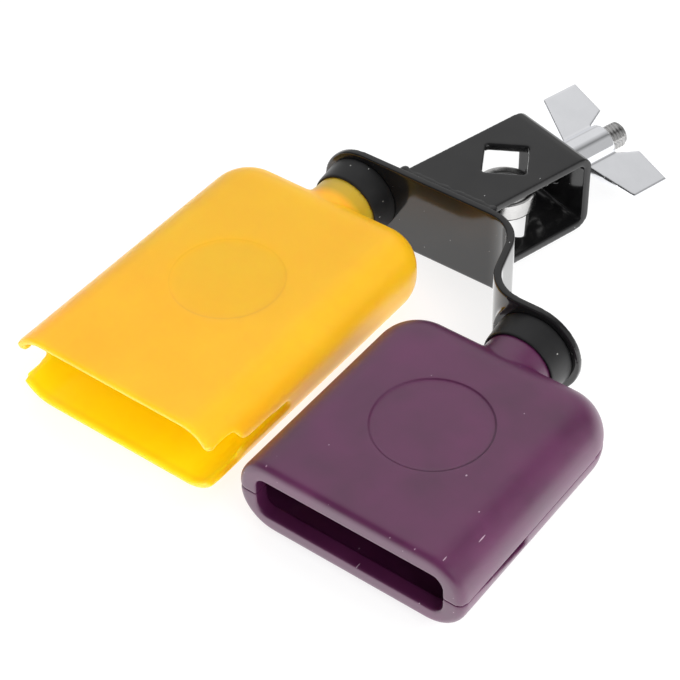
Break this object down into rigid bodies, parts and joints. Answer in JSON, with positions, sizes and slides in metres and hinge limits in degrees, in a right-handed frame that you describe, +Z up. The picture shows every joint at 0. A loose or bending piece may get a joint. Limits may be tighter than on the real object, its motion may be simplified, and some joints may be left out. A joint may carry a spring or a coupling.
{
  "type": "plastic cowbell",
  "caption": "Double plastic cowbell: a long and a short hollow block with open mouths on a bent steel strap, with a yoke clamp, eye bolt and wing nut for a rod.",
  "frame": {"origin": "on the axis of the clamped rod, at mid height of the yoke and of the blocks", "axes": "+Z up along the rod, -Y towards the block mouths, +X from the long block to the short one"},
  "size_m": [0.1872, 0.2351, 0.0354],
  "materials": {
    "large_plastic": "satin, slightly translucent moulded yellow plastic",
    "small_plastic": "satin moulded purple plastic with a few hairline scuffs",
    "insert_brass": "turned brass",
    "collar_rubber": "matte moulded black rubber",
    "black_paint": "gloss black paint over bent sheet steel",
    "screw_steel": "plain zinc-plated steel",
    "clamp_chrome": "bright chrome plate"
  },
  "bodies": {
    "bracket": {"bracket_strap": "black_paint", "clamp_yoke": "black_paint", "weld_beads": "black_paint", "clamp_washer": "clamp_chrome"},
    "large_block": {"large_upper_shell": "large_plastic", "large_lower_shell": "large_plastic", "large_insert": "insert_brass", "large_collar": "collar_rubber", "large_screw": "screw_steel", "large_screw_washer": "screw_steel"},
    "small_block": {"small_upper_shell": "small_plastic", "small_lower_shell": "small_plastic", "small_insert": "insert_brass", "small_collar": "collar_rubber", "small_screw": "screw_steel", "small_screw_washer": "screw_steel"},
    "clamp_bolt": {"eye_bolt": "clamp_chrome"},
    "clamp_nut": {"wing_nut": "clamp_chrome"}
  },
  "joints": [
    {"name": "large_block_swivel", "type": "hinge", "parent": "bracket", "child": "large_block", "pos_m": [-0.0438, -0.0303, 0], "axis": [0, 1, 0], "range_deg": [-90, 90]},
    {"name": "small_block_swivel", "type": "hinge", "parent": "bracket", "child": "small_block", "pos_m": [0.0544, -0.0635, 0], "axis": [0, 1, 0], "range_deg": [-90, 90]},
    {"name": "wing_nut_turn", "type": "hinge", "parent": "bracket", "child": "clamp_nut", "pos_m": [0.00772, 0.02692, 0], "axis": [-0.2756, -0.9613, 0], "range_deg": [-1440, 2400]},
    {"name": "eye_bolt_draw", "type": "slide", "parent": "bracket", "child": "clamp_bolt", "axis": [0.2756, 0.9613, 0], "range_m": [-0.0061, 0.0101]}
  ],
  "couplings": [
    {"joint": "eye_bolt_draw", "follows": "wing_nut_turn", "m_per_rad": 0.00023873}
  ]
}
